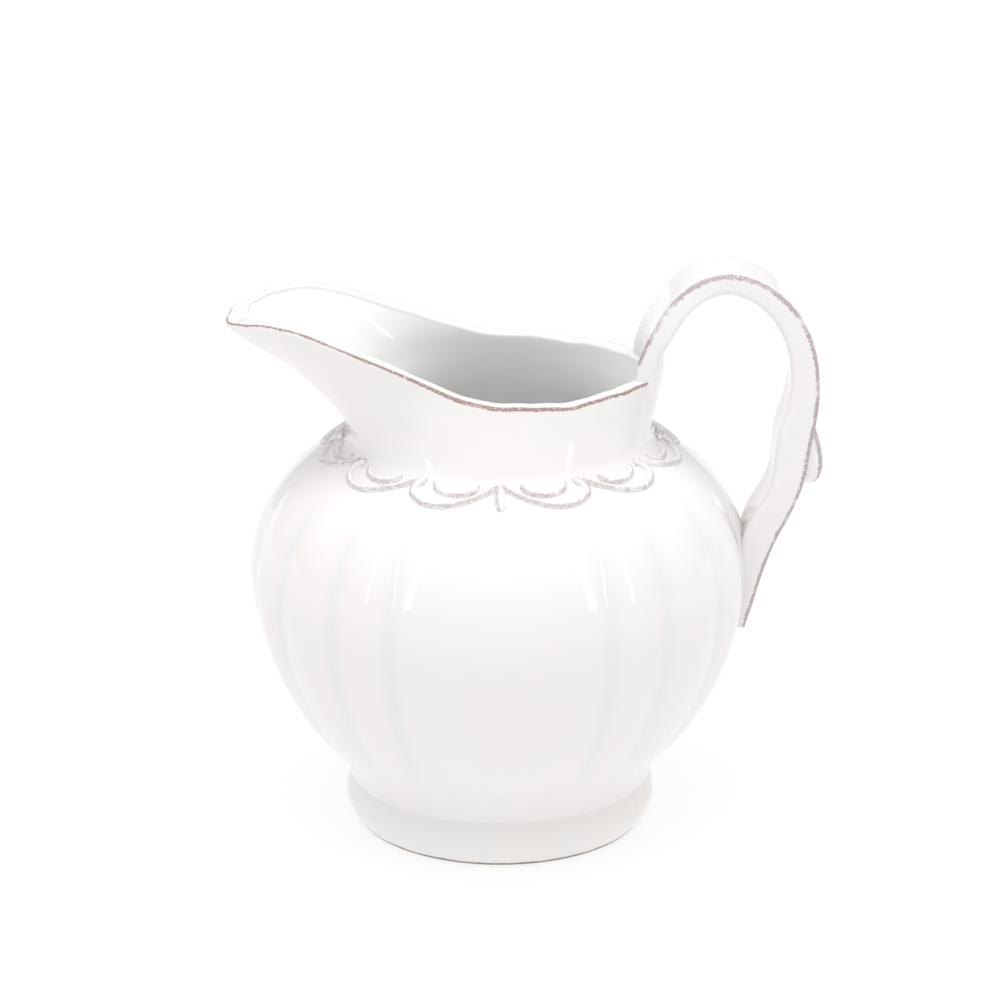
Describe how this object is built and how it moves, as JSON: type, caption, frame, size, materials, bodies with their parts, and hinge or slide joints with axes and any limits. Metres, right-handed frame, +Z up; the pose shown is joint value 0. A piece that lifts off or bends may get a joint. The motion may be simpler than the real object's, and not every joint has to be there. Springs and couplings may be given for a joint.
{
  "type": "ceramic pitcher",
  "caption": "Lobed glazed ceramic pitcher on a low foot ring, with a drawn spout, a strap handle and a sprigged garland; holds and pours liquid or displays flowers.",
  "frame": {"origin": "centre of the foot ring in its resting plane, on the turning axis of the foot, belly and neck", "axes": "+Z up along the turning axis, -X towards the spout, +X towards the handle, -Y towards the front panel of the belly"},
  "size_m": [0.148, 0.1254, 0.1432],
  "materials": {
    "white_glaze": "glossy white glaze, slightly warm, with pinholes, and rubbed brown-mauve along the rim and the handle's edges",
    "worn_glaze": "glossy white glaze that thins to brown-mauve clay on the ridges of the relief",
    "bare_foot_glaze": "glossy white glaze down to a wiped foot of bare buff-brown clay"
  },
  "bodies": {
    "root": {"foot_ring": "bare_foot_glaze", "belly": "white_glaze", "collar_spout": "white_glaze", "handle": "white_glaze", "handle_spur": "worn_glaze", "garland_swag_front_right_1": "worn_glaze", "garland_swag_front_left_1": "worn_glaze", "garland_swag_back_right_1": "worn_glaze", "garland_swag_back_left_1": "worn_glaze", "garland_scroll_front_right_1": "worn_glaze", "garland_scroll_front_left_1": "worn_glaze", "garland_scroll_back_right_1": "worn_glaze", "garland_scroll_back_left_1": "worn_glaze", "garland_swag_front_right_2": "worn_glaze", "garland_swag_front_left_2": "worn_glaze", "garland_swag_back_right_2": "worn_glaze", "garland_swag_back_left_2": "worn_glaze", "garland_scroll_front_right_2": "worn_glaze", "garland_scroll_front_left_2": "worn_glaze", "garland_scroll_back_right_2": "worn_glaze", "garland_scroll_back_left_2": "worn_glaze", "garland_swag_front_right_3": "worn_glaze", "garland_swag_front_left_3": "worn_glaze", "garland_swag_back_right_3": "worn_glaze", "garland_swag_back_left_3": "worn_glaze", "garland_scroll_front_right_3": "worn_glaze", "garland_scroll_front_left_3": "worn_glaze", "garland_scroll_back_right_3": "worn_glaze", "garland_scroll_back_left_3": "worn_glaze", "garland_drop_front": "worn_glaze", "garland_drop_back": "worn_glaze"}
  },
  "joints": []
}
